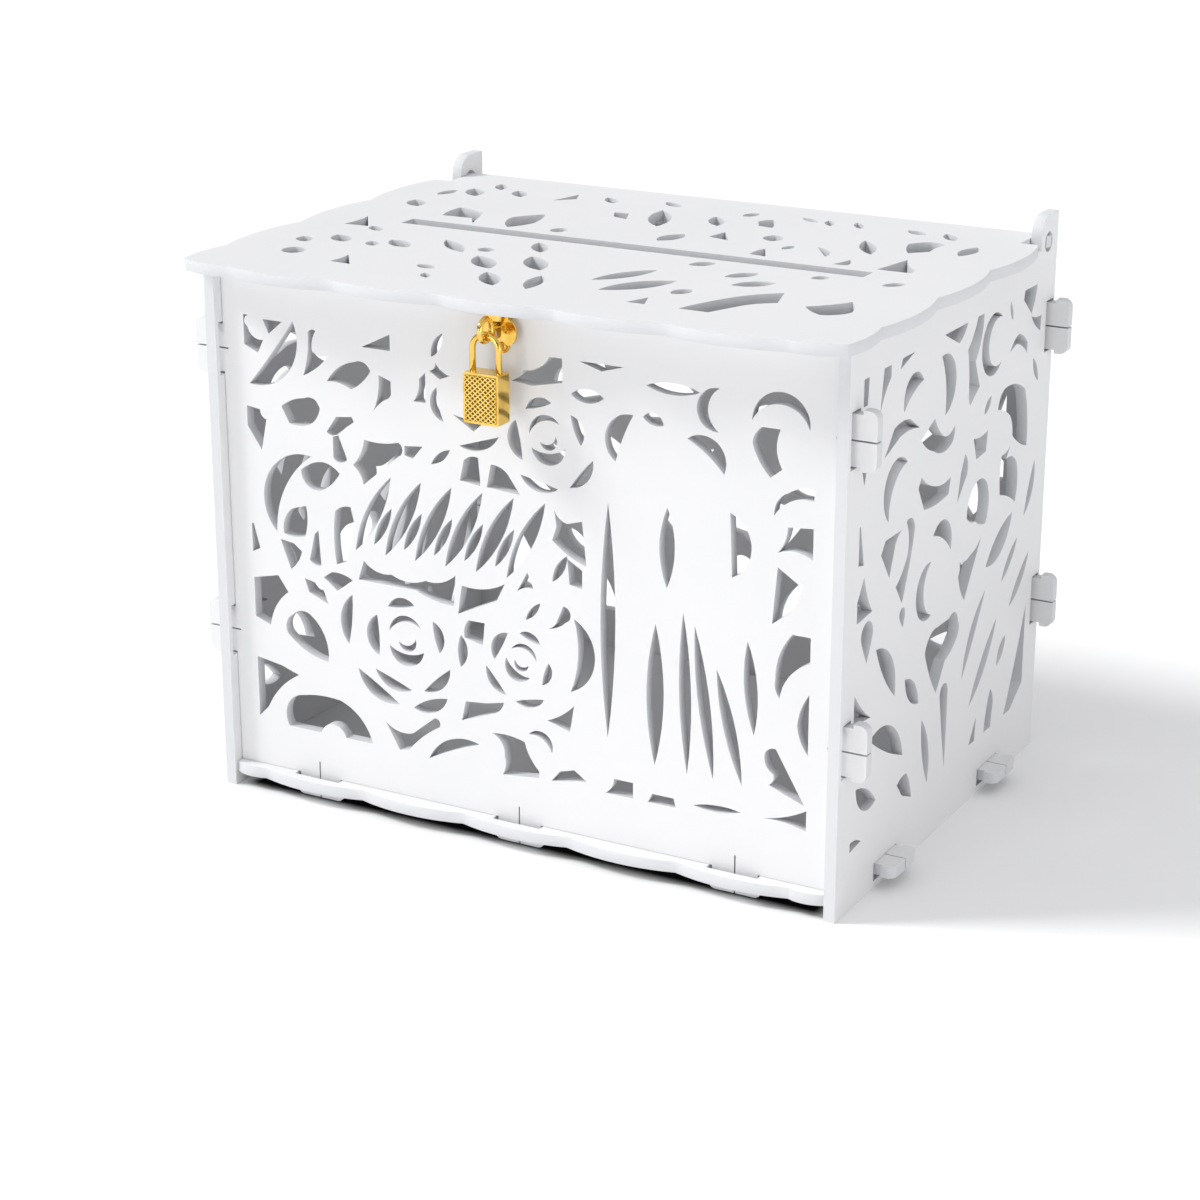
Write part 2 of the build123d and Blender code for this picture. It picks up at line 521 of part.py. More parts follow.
with BuildPart() as bottom:
    with BuildSketch(Plane.XY.offset(floor_height)):
        edge_half = inner_half - fit_gap
        cusp_y = front_edge - bottom_lip + scallop_rise
        outline(scalloped_front(edge_half, cusp_y, cusp_y + 1) + [(edge_half, rear_edge, 0),
            (-edge_half, rear_edge, 0)])
        for y in bottom_tabs:
            snap_tab(edge_half, y, 0, board + fit_gap, tab_standoff, tab_barb)
            snap_tab(-edge_half, y, 180, board + fit_gap, tab_standoff, tab_barb)
        for x in foot_tab_places:
            slot(x - slot_length / 2, x + slot_length / 2, *front_slot)
            slot(x - slot_length / 2, x + slot_length / 2, *back_slot)
    extrude(amount=board)
save(bottom.part, "bottom_panel")


# ---------------------------------------------------------------- lid
lid_half = half_width + lid_overhang
lid_inner = inner_half - ear_gap
wide_end = ear_front - ear_clear
lid_corner = front_edge - 9.0
side_arches = int((wide_end - lid_corner) / side_scallop)
lid_cusp = lid_tip + scallop_rise
lid_rear = pivot_y + lid_tail
tab_half = pivot_tab / 2
slot_y = lid_tip + card_slot_from_front
lid_scale = min(box_width / drawn_width, side_depth / drawn_depth)


def lid_side():
    """Right-hand edge of the lid from the front corner to the rear corner."""
    points = [(lid_half, lid_corner, -scallop_rise / 2)]
    for k in range(side_arches, 0, -1):
        points.append((lid_half, wide_end - k * side_scallop, -scallop_rise))
    points.append((lid_half, wide_end, 0))
    points.append((lid_inner, wide_end, 0))
    points.append((lid_inner, pivot_y - tab_half, 0))
    points.append((half_width, pivot_y - tab_half, 0))
    points.append((half_width, pivot_y + tab_half, 0))
    points.append((lid_inner, pivot_y + tab_half, 0))
    if lid_rear > pivot_y + tab_half:
        points.append((lid_inner, lid_rear, 0))
    return points


def lid_left():
    """Mirror image of the right-hand edge, walked from the rear to the front."""
    right = lid_side()
    points = []
    for here, before in zip(right[::-1], right[-2::-1] + [right[0]]):
        points.append((-here[0], here[1], before[2]))
    return points[:-1]


catch_y = front_face - 5.0      # front face of the tongue is one sheet behind this
catch_screw_y = catch_y - 3.4
with BuildPart() as lid:
    with BuildSketch(Plane.XY.offset(wall_height)):
        outline(scalloped_front(lid_half, lid_cusp, lid_corner)[:-1] + lid_side() + lid_left())
        with Locations((0, slot_y)):
            Rectangle(card_slot_length, card_slot_width, mode=Mode.SUBTRACT)
    extrude(amount=board)
    with BuildSketch(Plane.XY.offset(wall_height)):
        lid_pattern(Field(0, middle, lid_scale, lid_scale))
    extrude(amount=board, mode=Mode.SUBTRACT)
    with Locations((hasp_x - 4, catch_screw_y, wall_height), (hasp_x + 4, catch_screw_y, wall_height)):
        Cylinder(screw_hole, 3.6, align=(Align.CENTER, Align.CENTER, Align.MIN), mode=Mode.SUBTRACT)
save(lid.part, "lid")


# ---------------------------------------------------------------- hasp
sheet = 1.2                  # thickness of the gold sheet pieces
plate_gap = 0.05             # between flat pieces that bear on each other

with BuildPart() as catch:
    with BuildSketch(Plane.XZ.offset(-(catch_y + sheet))):
        with Locations((hasp_x, wall_height - 3.2)):
            RectangleRounded(10.0, 6.2, 1.2)
        with Locations((hasp_x - 5.0, eye_z - 2.5), (hasp_x + 5.0, eye_z - 2.5)):
            Ellipse(3.6, 5.2)
        with Locations((hasp_x, eye_z + 2.6)):
            Rectangle(10.0, 2.4)
        with Locations((hasp_x, eye_z - 5.0)):
            Rectangle(2 * shank_hole + 1.0, 13.0, mode=Mode.SUBTRACT)
    extrude(amount=sheet)
    with BuildSketch(Plane.XY.offset(wall_height - plate_gap)):
        with Locations((hasp_x, catch_y + sheet - 4.2)):
            RectangleRounded(14.0, 8.4, 2.0)
    extrude(amount=-sheet)
    with Locations((hasp_x - 4, catch_screw_y, wall_height), (hasp_x + 4, catch_screw_y, wall_height)):
        Cylinder(screw_hole, 8, mode=Mode.SUBTRACT)
save(catch.part, "lid_catch")

with BuildPart() as catch_screws:
    for x in (hasp_x - 4, hasp_x + 4):
        with Locations((x, catch_screw_y, wall_height - plate_gap - sheet - 0.02)):
            Cylinder(screw_shank, 4.6, align=(Align.CENTER, Align.CENTER, Align.MIN))
            Cylinder(1.6, 0.9, align=(Align.CENTER, Align.CENTER, Align.MAX))
save(catch_screws.part, "catch_screws")

with BuildPart() as staple_plate:
    with BuildSketch(Plane.XZ.offset(plate_gap - front_face)):
        with Locations((hasp_x, eye_z)):
            Circle(4.6)
        with Locations((hasp_x, (eye_z + plate_screw_z) / 2)):
            Rectangle(5.2, eye_z - plate_screw_z)
        with Locations((hasp_x, plate_screw_z)):
            Circle(2.9)
            Circle(screw_hole, mode=Mode.SUBTRACT)
        with Locations((hasp_x, eye_z)):
            Circle(shank_hole, mode=Mode.SUBTRACT)
    extrude(amount=sheet)
save(staple_plate.part, "staple_plate")

screw_seat = front_face - plate_gap - sheet - 0.02
with BuildPart() as staple_screw:
    with BuildSketch(Plane.XZ.offset(-screw_seat)):
        with Locations((hasp_x, plate_screw_z)):
            Circle(1.9)
    extrude(amount=0.9, taper=25)
    with BuildSketch(Plane.XZ.offset(-screw_seat)):
        with Locations((hasp_x, plate_screw_z)):
            Circle(screw_shank)
    extrude(amount=-(sheet + board - 0.6))
save(staple_screw.part, "staple_screw")

shank_end = front_face + board + 4.6
with BuildPart() as staple_eye:
    with BuildSketch(Plane.XY.offset(eye_z)):
        with Locations((hasp_x, lock_y + eye_radius)):
            Circle(eye_rod / 2)
    revolve(axis=Axis((hasp_x, lock_y, eye_z), (1, 0, 0)))
    with BuildSketch(Plane.XZ.offset(-shank_end)):
        with Locations((hasp_x, eye_z)):
            Circle(shank_diameter / 2)
    extrude(amount=shank_end - (lock_y + eye_radius))
save(staple_eye.part, "staple_eye")

inner_face = front_face + board
with BuildPart() as staple_washer:
    with BuildSketch(Plane.XZ.offset(-(inner_face + plate_gap))):
        with Locations((hasp_x, eye_z)):
            Circle(4.2)
            Circle(shank_hole, mode=Mode.SUBTRACT)
    extrude(amount=-0.8)
save(staple_washer.part, "staple_washer")

with BuildPart() as staple_nut:
    with BuildSketch(Plane.XZ.offset(-(inner_face + 2 * plate_gap + 0.8))):
        with Locations((hasp_x, eye_z)):
            RegularPolygon(2.6, 6)
            Circle(shank_diameter / 2 + bore_gap, mode=Mode.SUBTRACT)
    extrude(amount=-2.0)
save(staple_nut.part, "staple_nut")


# ---------------------------------------------------------------- padlock
lock_top = crown_height - lock_drop
lock_bottom = lock_top - lock_height
half_pitch = leg_pitch / 2
heel_x = hasp_x + half_pitch
toe_x = hasp_x - half_pitch
arch_z = crown_height - half_pitch
heel_end = lock_top - heel_depth
toe_end = lock_top - toe_depth
bore = rod / 2 + bore_gap
latch_z = toe_end + 2.6      # middle height of the latch
latch_size = 1.6
latch_tip = toe_x + rod / 2 - latch_bite
plug_top = lock_bottom + plug_length
cam_height = latch_z + 1.4 - plug_top
spring_coil = 0.35           # wire radius of both springs
heel_spring_length = 4.0
pin_radius = 0.5
heel_pin_z = heel_end + 1.5 + release_travel  # retaining pin's middle, in the heel's long groove
plug_pin_z = lock_bottom + 3.0


def lock_plate(y_front, thickness):
    """Rounded plate of the lock's outline."""
    with BuildSketch(Plane.XZ.offset(-y_front)) as plate:
        with Locations((hasp_x, lock_top - lock_height / 2)):
            RectangleRounded(lock_width, lock_height, 0.9)
    extrude(plate.sketch, amount=-thickness)


with BuildPart() as core:
    lock_plate(lock_y - lock_core / 2, lock_core)
    with Locations((heel_x, lock_y, lock_top)):
        deep = heel_depth + heel_spring_length + 0.2
        Cylinder(bore, deep, align=(Align.CENTER, Align.CENTER, Align.MAX), mode=Mode.SUBTRACT)
    with Locations((toe_x, lock_y, lock_top)):
        deep = toe_depth + 0.3
        Cylinder(bore, deep, align=(Align.CENTER, Align.CENTER, Align.MAX), mode=Mode.SUBTRACT)
    with Locations((hasp_x, lock_y, lock_bottom)):
        deep = plug_length + bore_gap
        Cylinder(plug_diameter / 2 + bore_gap, deep, align=(Align.CENTER, Align.CENTER, Align.MIN),
            mode=Mode.SUBTRACT)
    # chamber for the cam, and the latch's channel from it to the toe bore
    with Locations((hasp_x, lock_y, plug_top)):
        Cylinder(2.0, cam_height + 0.3, align=(Align.CENTER, Align.CENTER, Align.MIN), mode=Mode.SUBTRACT)
    with Locations(((toe_x + hasp_x) / 2, lock_y, latch_z)):
        channel = latch_size + 2 * bore_gap
        Box(half_pitch, channel, channel, mode=Mode.SUBTRACT)
    # cross pins' holes
    with BuildSketch(Plane.XZ.offset(-lock_y)):
        with Locations((heel_x, heel_pin_z)):
            Circle(pin_radius)
    extrude(amount=lock_core / 2, both=True, mode=Mode.SUBTRACT)
    with BuildSketch(Plane.XZ.offset(-lock_y)):
        with Locations((hasp_x + plug_diameter / 2, plug_pin_z)):
            Circle(pin_radius)
    extrude(amount=lock_core / 2, both=True, mode=Mode.SUBTRACT)
save(core.part, "padlock_core")

with BuildPart() as front_cover:
    lock_plate(lock_y - lock_core / 2 - plate_gap - lock_cover, lock_cover)
save(front_cover.part, "padlock_front_plate")

with BuildPart() as back_cover:
    lock_plate(lock_y + lock_core / 2 + plate_gap, lock_cover)
save(back_cover.part, "padlock_back_plate")

with BuildPart() as shackle:
    with BuildSketch(Plane.XY.offset(arch_z)):
        with Locations((heel_x, lock_y)):
            Circle(rod / 2)
    revolve(axis=Axis((hasp_x, lock_y, arch_z), (0, 1, 0)), revolution_arc=-180)
    with BuildSketch(Plane.XY.offset(arch_z)):
        with Locations((heel_x, lock_y)):
            Circle(rod / 2)
    extrude(amount=heel_end - arch_z)
    with BuildSketch(Plane.XY.offset(arch_z)):
        with Locations((toe_x, lock_y)):
            Circle(rod / 2)
    extrude(amount=toe_end - arch_z)
    # ramp that the latch rests in: deepest at the latch, running out at the toe
    inner_side = toe_x + rod / 2
    ramp_slope = latch_travel / release_travel
    latch_low = latch_z - latch_size / 2
    with BuildSketch(Plane.XZ.offset(-lock_y)):
        outline([
            (inner_side + 1, latch_z + latch_size / 2 + 0.15, 0),
            (inner_side - latch_bite - 0.12, latch_z + latch_size / 2 + 0.15, 0),
            (inner_side - latch_bite - 0.12, latch_low - 0.1, 0),
            (inner_side - latch_bite - 0.06 + ramp_slope * (latch_low - toe_end), toe_end - 0.1, 0),
            (inner_side + 1, toe_end - 0.1, 0),
        ])
    extrude(amount=rod, both=True, mode=Mode.SUBTRACT)
    # long groove in the heel that lets it slide past its pin
    with BuildSketch(Plane.XZ.offset(-lock_y)):
        low = heel_pin_z - release_travel - pin_radius - 0.1
        high = heel_pin_z + pin_radius + 0.1
        with Locations((heel_x, (low + high) / 2)):
            Rectangle(2 * pin_radius + 0.2, high - low)
    extrude(amount=rod, both=True, mode=Mode.SUBTRACT)
save(shackle.part, "shackle")

with BuildPart() as shackle_pin:
    with BuildSketch(Plane.XZ.offset(-lock_y)):
        with Locations((heel_x, heel_pin_z)):
            Circle(pin_radius)
    extrude(amount=lock_core / 2, both=True)
save(shackle_pin.part, "shackle_pin")

with BuildPart() as plug:
    with Locations((hasp_x, lock_y, lock_bottom)):
        Cylinder(plug_diameter / 2, plug_length, align=(Align.CENTER, Align.CENTER, Align.MIN))
        Box(0.8, 2.6, 6.0, align=(Align.CENTER, Align.CENTER, Align.MIN), mode=Mode.SUBTRACT)
    with Locations((hasp_x, lock_y, plug_top)):
        Box(3.0, 0.8, cam_height, align=(Align.CENTER, Align.CENTER, Align.MIN))
    with Locations((hasp_x, lock_y, plug_pin_z)):
        Cylinder(plug_diameter / 2, 2 * pin_radius + 0.2, mode=Mode.SUBTRACT)
        Cylinder(plug_diameter / 2 - pin_radius - 0.1, 2 * pin_radius + 0.4)
        Box(0.8, 2.6, 2 * pin_radius + 0.4, mode=Mode.SUBTRACT)
save(plug.part, "key_plug")

with BuildPart() as plug_pin:
    with BuildSketch(Plane.XZ.offset(-lock_y)):
        with Locations((hasp_x + plug_diameter / 2, plug_pin_z)):
            Circle(pin_radius)
    extrude(amount=lock_core / 2, both=True)
save(plug_pin.part, "plug_pin")

latch_tail = hasp_x - 2.05
with BuildPart() as latch:
    with Locations(((latch_tip + latch_tail) / 2, lock_y, latch_z)):
        Box(latch_tail - latch_tip, latch_size, latch_size)
save(latch.part, "latch")


def coil(x, y, low, high, radius, turns):
    """Spring of stacked rings joined into one solid by a thin seam."""
    pitch = (high - low - 2 * spring_coil) / turns
    for k in range(turns + 1):
        z = low + spring_coil + k * pitch
        with BuildSketch(Plane.XZ.offset(-y)) as wire:
            with Locations((x + radius, z)):
                Circle(spring_coil)
        revolve(wire.sketch, axis=Axis((x, y, 0), (0, 0, 1)))
    with Locations((x + radius, y, (low + high) / 2)):
        Box(spring_coil, spring_coil, high - low - spring_coil)


with BuildPart() as heel_spring:
    coil(heel_x, lock_y, heel_end - heel_spring_length, heel_end - 0.05, 0.85, 5)
save(heel_spring.part, "shackle_spring")
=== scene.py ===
# %% [markdown]
# # A pierced wedding card box
# This lesson dresses a finished construction model: the panels, the hasp and the padlock already have
# their true shapes and places. Blender adds what a camera sees: cut foamed board, gold plate, the
# cross-hatched faces of the padlock, soft light and a lens. We start by loading the frame and noting its box.

# %% Load the frame
import bpy, bmesh, math
from mathutils import Matrix, Vector


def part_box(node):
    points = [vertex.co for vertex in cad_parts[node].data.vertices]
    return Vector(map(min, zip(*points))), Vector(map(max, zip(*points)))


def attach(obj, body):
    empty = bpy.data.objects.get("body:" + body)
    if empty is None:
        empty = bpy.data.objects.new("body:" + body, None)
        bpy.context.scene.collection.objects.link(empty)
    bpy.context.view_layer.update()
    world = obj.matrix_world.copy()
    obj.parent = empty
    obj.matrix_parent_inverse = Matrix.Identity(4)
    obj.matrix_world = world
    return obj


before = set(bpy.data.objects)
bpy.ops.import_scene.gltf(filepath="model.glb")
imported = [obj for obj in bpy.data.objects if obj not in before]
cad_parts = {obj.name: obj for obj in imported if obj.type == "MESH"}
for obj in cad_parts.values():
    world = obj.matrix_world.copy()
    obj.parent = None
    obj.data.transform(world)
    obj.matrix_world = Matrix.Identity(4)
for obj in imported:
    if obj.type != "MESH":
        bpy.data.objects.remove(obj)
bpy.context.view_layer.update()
MM = 0.001
print("nodes:", sorted(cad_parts))

# %% [markdown]
# ## The camera
# Product pictures of boxes are taken from a little above, with a longish lens, so that upright edges stay
# nearly parallel. The camera is placed by two angles and a distance from a point on the box, which is easier
# to adjust than a free position.

# %% Camera
AZIMUTH = math.radians(28.98)
ELEVATION = math.radians(19.38)
DISTANCE = 1.2739
LENS = 84.3
SENSOR = 36.0
TARGET_X = -0.0187
TARGET_Z = 0.0757


def aim_camera(target, azimuth, elevation, distance, lens):
    """Camera looking at a point from two angles; the sensor is the usual 36 mm wide."""
    flat = math.cos(elevation)
    back = Vector((math.sin(azimuth) * flat, -math.cos(azimuth) * flat, math.sin(elevation)))
    right = Vector((math.cos(azimuth), math.sin(azimuth), 0.0))
    up = back.cross(right)
    data = bpy.data.cameras.new("product_camera")
    data.lens = lens
    data.sensor_width = SENSOR
    data.clip_end = 60.0
    camera = bpy.data.objects.new("product_camera", data)
    axes = Matrix((right, up, back)).transposed().to_4x4()
    camera.matrix_world = Matrix.Translation(target + back * distance) @ axes
    bpy.context.collection.objects.link(camera)
    bpy.context.scene.camera = camera
    return camera


side_low, side_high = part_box("right_side_panel")
box_middle_y = (side_low[1] + side_high[1]) / 2
camera = aim_camera(Vector((TARGET_X, box_middle_y, TARGET_Z)), AZIMUTH, ELEVATION, DISTANCE, LENS)
print("camera at", [round(v, 3) for v in camera.location])

# %% [markdown]
# ## Node materials
# A material is a small graph: textures on the left, the surface shader on the right. These helpers keep
# the graphs short to write. `node` adds one node and sets its plain values, `ramp` turns a grey value into
# colours, and `math_node` does one sum.

# %% Material helpers


def new_material(name):
    """Empty node material with a surface shader wired to its output."""
    material = bpy.data.materials.new(name)
    material.use_nodes = True
    tree = material.node_tree
    tree.nodes.clear()
    shader = tree.nodes.new("ShaderNodeBsdfPrincipled")
    output = tree.nodes.new("ShaderNodeOutputMaterial")
    tree.links.new(shader.outputs["BSDF"], output.inputs["Surface"])
    return material, tree, shader


def node(tree, kind, settings=None, **values):
    """Add a node; settings are its own properties, values fill its sockets."""
    made = tree.nodes.new("ShaderNode" + kind)
    for key, value in (settings or {}).items():
        setattr(made, key, value)
    for key, value in values.items():
        made.inputs[key.replace("_", " ")].default_value = value
    return made


def ramp(tree, source, stops):
    """Colour ramp from a list of (position, colour) stops."""
    made = tree.nodes.new("ShaderNodeValToRGB")
    elements = made.color_ramp.elements
    while len(elements) < len(stops):
        elements.new(0.5)
    for element, (position, colour) in zip(elements, stops):
        element.position = position
        element.color = (*colour, 1.0)
    tree.links.new(source, made.inputs["Fac"])
    return made


def math_node(tree, operation, first, second):
    """One sum on two inputs, each a socket or a number."""
    made = tree.nodes.new("ShaderNodeMath")
    made.operation = operation
    for slot, value in zip(made.inputs, (first, second)):
        if isinstance(value, (int, float)):
            slot.default_value = value
        else:
            tree.links.new(value, slot)
    return made.outputs[0]


print("helpers ready")

# %% [markdown]
# ## Foamed board
# The panels are cut from white foamed plastic sheet. Its two skins are smooth and satin, but a cut goes
# through tiny bubbles, so cut edges are duller and a shade greyer. The graph tells the two apart by the
# surface's own direction: where it points along the sheet's thickness it is skin, elsewhere it is a cut.

# %% Board material
SKIN = (0.80, 0.80, 0.81)
CUT = (0.70, 0.705, 0.725)


def board_material(name, thickness_axis):
    """White foamed board; thickness_axis is 0, 1 or 2 for a sheet that is thin along X, Y or Z."""
    material, tree, shader = new_material(name)
    coordinates = node(tree, "TexCoord")
    axes = node(tree, "SeparateXYZ")
    tree.links.new(coordinates.outputs["Normal"], axes.inputs[0])
    along = math_node(tree, "ABSOLUTE", axes.outputs[thickness_axis], 0.0)
    skin = ramp(tree, along, [(0.55, (0, 0, 0)), (0.9, (1, 1, 1))])

    bubbles = node(tree, "TexVoronoi", Scale=2600.0)
    clouds = node(tree, "TexNoise", Scale=9.0, Detail=4.0, Roughness=0.55)
    grain = node(tree, "TexNoise", Scale=1900.0, Detail=2.0)
    for texture in (bubbles, clouds, grain):
        tree.links.new(coordinates.outputs["Object"], texture.inputs["Vector"])

    shade = ramp(tree, clouds.outputs["Fac"], [(0.3, (0.965, 0.97, 0.975)), (0.7, (1.0, 1.0, 1.0))])
    base = node(tree, "Mix", {"data_type": "RGBA"})
    tree.links.new(skin.outputs["Color"], base.inputs["Factor"])
    base.inputs["A"].default_value = (*CUT, 1.0)
    base.inputs["B"].default_value = (*SKIN, 1.0)
    tinted = node(tree, "Mix", {"data_type": "RGBA", "blend_type": "MULTIPLY"})
    tinted.inputs["Factor"].default_value = 1.0
    tree.links.new(base.outputs["Result"], tinted.inputs["A"])
    tree.links.new(shade.outputs["Color"], tinted.inputs["B"])
    tree.links.new(tinted.outputs["Result"], shader.inputs["Base Color"])

    rough = ramp(tree, along, [(0.5, (0.78, 0.78, 0.78)), (0.9, (0.46, 0.46, 0.46))])
    tree.links.new(rough.outputs["Color"], shader.inputs["Roughness"])

    cut_only = math_node(tree, "SUBTRACT", 1.0, skin.outputs["Color"])
    pits = math_node(tree, "MULTIPLY", bubbles.outputs["Distance"], cut_only)
    relief = math_node(tree, "ADD", pits, math_node(tree, "MULTIPLY", grain.outputs["Fac"], 0.12))
    bump = node(tree, "Bump", Strength=0.22, Distance=0.00025)
    tree.links.new(relief, bump.inputs["Height"])
    tree.links.new(bump.outputs["Normal"], shader.inputs["Normal"])
    shader.inputs["IOR"].default_value = 1.47
    shader.inputs["Specular IOR Level"].default_value = 0.38
    return material


board_sides = board_material("foamed_board_sides", 0)
board_walls = board_material("foamed_board_walls", 1)
board_flat = board_material("foamed_board_flat", 2)
print("board materials:", board_sides.name, board_walls.name, board_flat.name)

# %% [markdown]
# ## Gold plate
# The hasp and padlock are gold-plated brass. A plated surface is nearly a mirror, with faint polishing
# streaks, which show as small changes in roughness, and a few cloudy finger marks, which show as small drifts
# in colour. The tops of the padlock's cross-hatching are worn bright, while the pits between them hold dark
# brown patina.

# %% Metal materials


def metal_material(name, light, deep, roughness, streaks=0.06, bump_strength=0.05):
    """Polished metal whose colour drifts between two shades, with fine streaks in its polish."""
    material, tree, shader = new_material(name)
    coordinates = node(tree, "TexCoord")
    stretch = node(tree, "Mapping", Scale=(180.0, 180.0, 1400.0))
    tree.links.new(coordinates.outputs["Object"], stretch.inputs["Vector"])
    brushed = node(tree, "TexNoise", Scale=1.0, Detail=3.0)
    tree.links.new(stretch.outputs["Vector"], brushed.inputs["Vector"])
    marks = node(tree, "TexNoise", Scale=160.0, Detail=3.0, Roughness=0.6)
    tree.links.new(coordinates.outputs["Object"], marks.inputs["Vector"])
    tone = ramp(tree, marks.outputs["Fac"], [(0.35, deep), (0.62, light)])
    tree.links.new(tone.outputs["Color"], shader.inputs["Base Color"])
    low = (roughness,) * 3
    high = (roughness + streaks,) * 3
    polish = ramp(tree, brushed.outputs["Fac"], [(0.35, low), (0.7, high)])
    tree.links.new(polish.outputs["Color"], shader.inputs["Roughness"])
    bump = node(tree, "Bump", Strength=bump_strength, Distance=0.00005)
    tree.links.new(brushed.outputs["Fac"], bump.inputs["Height"])
    tree.links.new(bump.outputs["Normal"], shader.inputs["Normal"])
    shader.inputs["Metallic"].default_value = 1.0
    return material


gold = metal_material("gold_plate", (0.92, 0.64, 0.17), (0.78, 0.49, 0.09), 0.11)
gold_dark = metal_material("patina_in_pits", (0.16, 0.09, 0.025), (0.07, 0.035, 0.01), 0.30)
steel = metal_material("spring_steel", (0.62, 0.62, 0.63), (0.5, 0.5, 0.52), 0.25)
print("metals:", gold.name, gold_dark.name, steel.name)

# %% [markdown]
# ## Dressing the construction pieces
# Nothing real has a perfectly sharp edge. A weld joins the imported corner points and a narrow bevel rounds
# every crease, so edges catch a thin line of light. The bevel is a third of a millimetre wide on the board
# and finer still on the small metal pieces.

# %% Edges and materials on the pieces
BOARD_PIECES = {
    "left_side_panel": board_sides,
    "right_side_panel": board_sides,
    "front_panel": board_walls,
    "back_panel": board_walls,
    "bottom_panel": board_flat,
    "lid": board_flat,
}
STEEL_PIECES = ("shackle_spring", "shackle_pin", "plug_pin", "latch")
BOARD_EDGE = 0.35 * MM
GOLD_EDGE = 0.12 * MM
STEEL_EDGE = 0.05 * MM
WELD_REACH = 0.01 * MM
CREASE = math.radians(50)


def dress(piece, material, bevel_width, segments=2):
    """Give a construction piece its material and slightly rounded edges."""
    for place in range(max(1, len(piece.material_slots))):
        if piece.material_slots:
            piece.material_slots[place].material = material
        else:
            piece.data.materials.append(material)
    weld = piece.modifiers.new("join_corners", "WELD")
    weld.merge_threshold = WELD_REACH
    bevel = piece.modifiers.new("soft_edges", "BEVEL")
    bevel.width = bevel_width
    bevel.segments = segments
    bevel.limit_method = "ANGLE"
    bevel.angle_limit = CREASE
    bevel.harden_normals = True


for name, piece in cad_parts.items():
    if name in BOARD_PIECES:
        dress(piece, BOARD_PIECES[name], BOARD_EDGE)
    elif name in STEEL_PIECES:
        dress(piece, steel, STEEL_EDGE, 1)
    else:
        dress(piece, gold, GOLD_EDGE)
print("dressed", len(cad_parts), "pieces")

# %% [markdown]
# ## Cross-hatched padlock faces
# Each cover plate is rolled with a diamond grid: thin raised lines with a sunk pit in every diamond. One
# function makes the grid. It walks over diamond centres, clamps the diamonds at the border so that they end
# in neat halves, and gives each a flat rim, sloping walls and a floor in the darker finish.

# %% Diamond grid on both covers
COLUMNS = 6
ROWS = 9
MARGIN = 1.0 * MM
RELIEF = 0.22 * MM
SKIN_THICKNESS = 0.18 * MM
# shares of a diamond's width taken by its pit, at the mouth and at the bottom, and the bottom's height
PIT_MOUTH = 0.64
PIT_BOTTOM = 0.46
PIT_HEIGHT = 0.2 * RELIEF


def diamond_grid(name, cover, facing):
    """Cross-hatched skin on a cover plate; facing is -1 for the front plate and 1 for the back one."""
    low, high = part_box(cover)
    left = low[0] + MARGIN
    right = high[0] - MARGIN
    bottom = low[2] + MARGIN
    top = high[2] - MARGIN
    surface = low[1] if facing < 0 else high[1]
    half_w = (right - left) / COLUMNS / 2
    half_h = (top - bottom) / ROWS / 2
    mesh = bmesh.new()

    def ring(corners, middle, share, height):
        """Corners drawn in towards the diamond's middle, at a height above the plate."""
        made = []
        for x, z in corners:
            inner_x = middle[0] + (x - middle[0]) * share
            inner_z = middle[1] + (z - middle[1]) * share
            made.append(mesh.verts.new((inner_x, surface + facing * height, inner_z)))
        return made

    for column in range(2 * COLUMNS + 1):
        for row in range(2 * ROWS + 1):
            if (column + row) % 2:
                continue
            x = left + column * half_w
            z = bottom + row * half_h
            corners = [(x - half_w, z), (x, z - half_h), (x + half_w, z), (x, z + half_h)]
            corners = [(min(max(a, left), right), min(max(b, bottom), top)) for a, b in corners]
            corners = [c for k, c in enumerate(corners) if c != corners[k - 1]]
            if len(corners) < 3:
                continue
            middle = (sum(c[0] for c in corners) / len(corners), sum(c[1] for c in corners) / len(corners))
            outer = ring(corners, middle, 1.0, RELIEF)
            mouth = ring(corners, middle, PIT_MOUTH, RELIEF)
            pit = ring(corners, middle, PIT_BOTTOM, PIT_HEIGHT)
            for k in range(len(corners)):
                n = (k + 1) % len(corners)
                mesh.faces.new((outer[k], outer[n], mouth[n], mouth[k]))
                wall = mesh.faces.new((mouth[k], mouth[n], pit[n], pit[k]))
                wall.material_index = 1
            mesh.faces.new(pit).material_index = 1
    bmesh.ops.remove_doubles(mesh, verts=mesh.verts, dist=WELD_REACH)
    bmesh.ops.recalc_face_normals(mesh, faces=mesh.faces)
    data = bpy.data.meshes.new(name)
    mesh.to_mesh(data)
    mesh.free()
    piece = bpy.data.objects.new(name, data)
    data.materials.append(gold)
    data.materials.append(gold_dark)
    bpy.context.collection.objects.link(piece)
    thick = piece.modifiers.new("skin", "SOLIDIFY")
    thick.thickness = SKIN_THICKNESS
    thick.offset = 0.0
    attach(piece, "lock_body")
    return piece


front_grid = diamond_grid("padlock_front_grid", "padlock_front_plate", -1)
back_grid = diamond_grid("padlock_back_grid", "padlock_back_plate", 1)
print("grid faces:", len(front_grid.data.polygons), len(back_grid.data.polygons))
